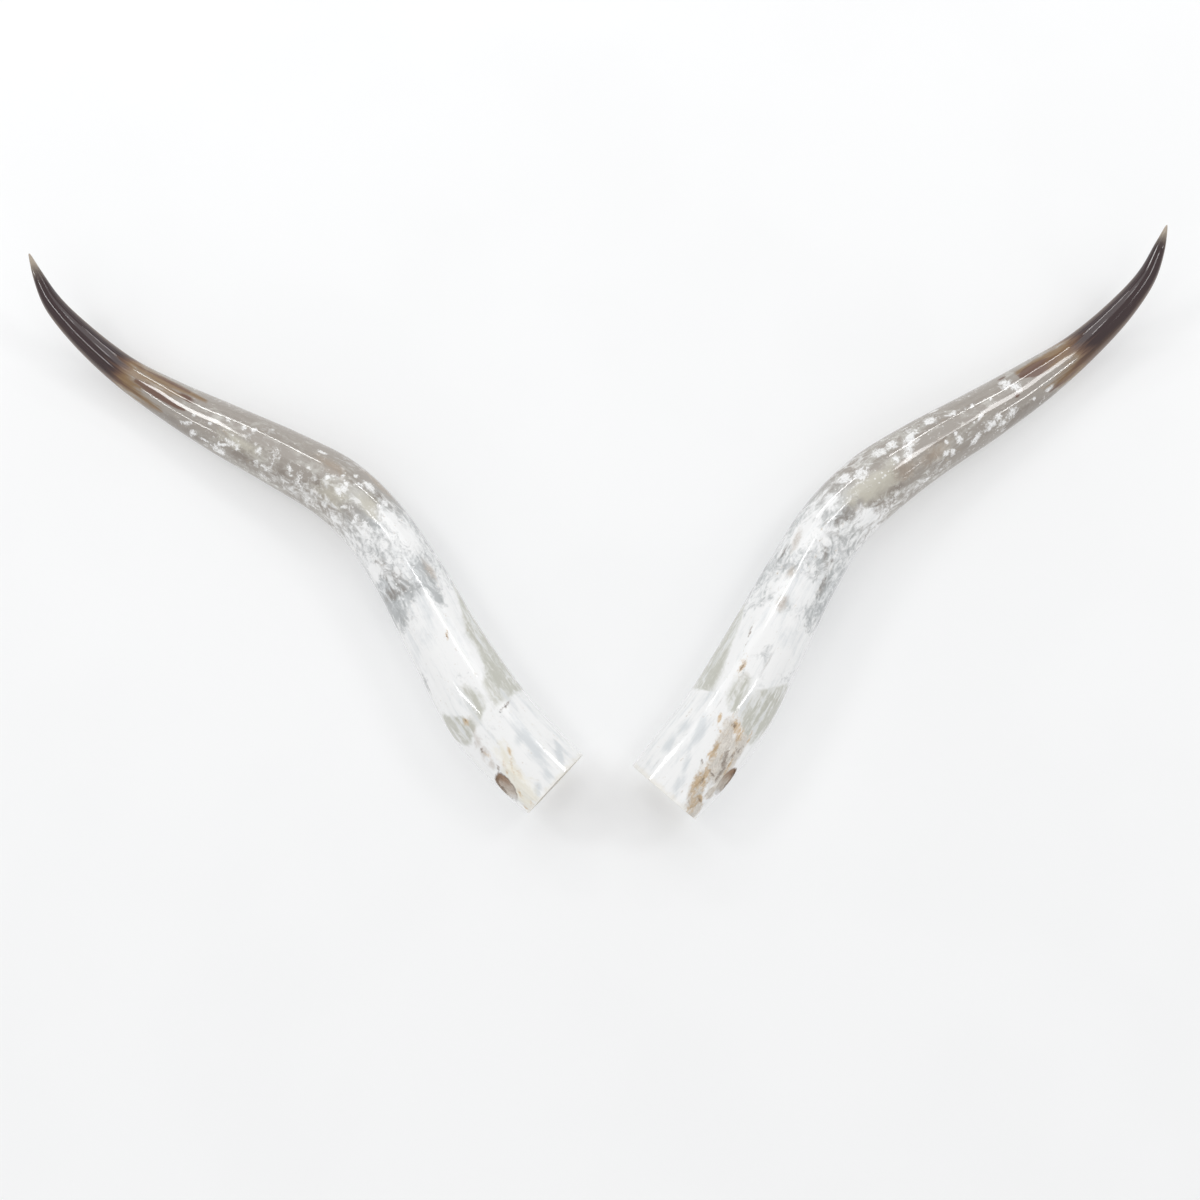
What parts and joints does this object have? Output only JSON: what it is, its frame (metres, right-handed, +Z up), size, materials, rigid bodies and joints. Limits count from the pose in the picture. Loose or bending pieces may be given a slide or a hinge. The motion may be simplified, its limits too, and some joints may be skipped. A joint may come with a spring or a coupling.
{
  "type": "pair of polished cow horns",
  "caption": "Long S-curved cattle horns lying on a surface: white and grey mottled sheath, dark polished points, sawn hollow bases that take a plug or stand against a plaque.",
  "frame": {"origin": "on the surface that the horns lie on, under the middle of the pair's box", "axes": "+X from the left point to the right one, +Y from the sawn bases towards the points, +Z up"},
  "size_m": [1.2524, 0.6308, 0.0834],
  "materials": {
    "polished_horn": "polished horn, white and grey mottled, dark brown points"
  },
  "bodies": {
    "root": {"left_horn": "polished_horn", "right_horn": "polished_horn"}
  },
  "joints": []
}
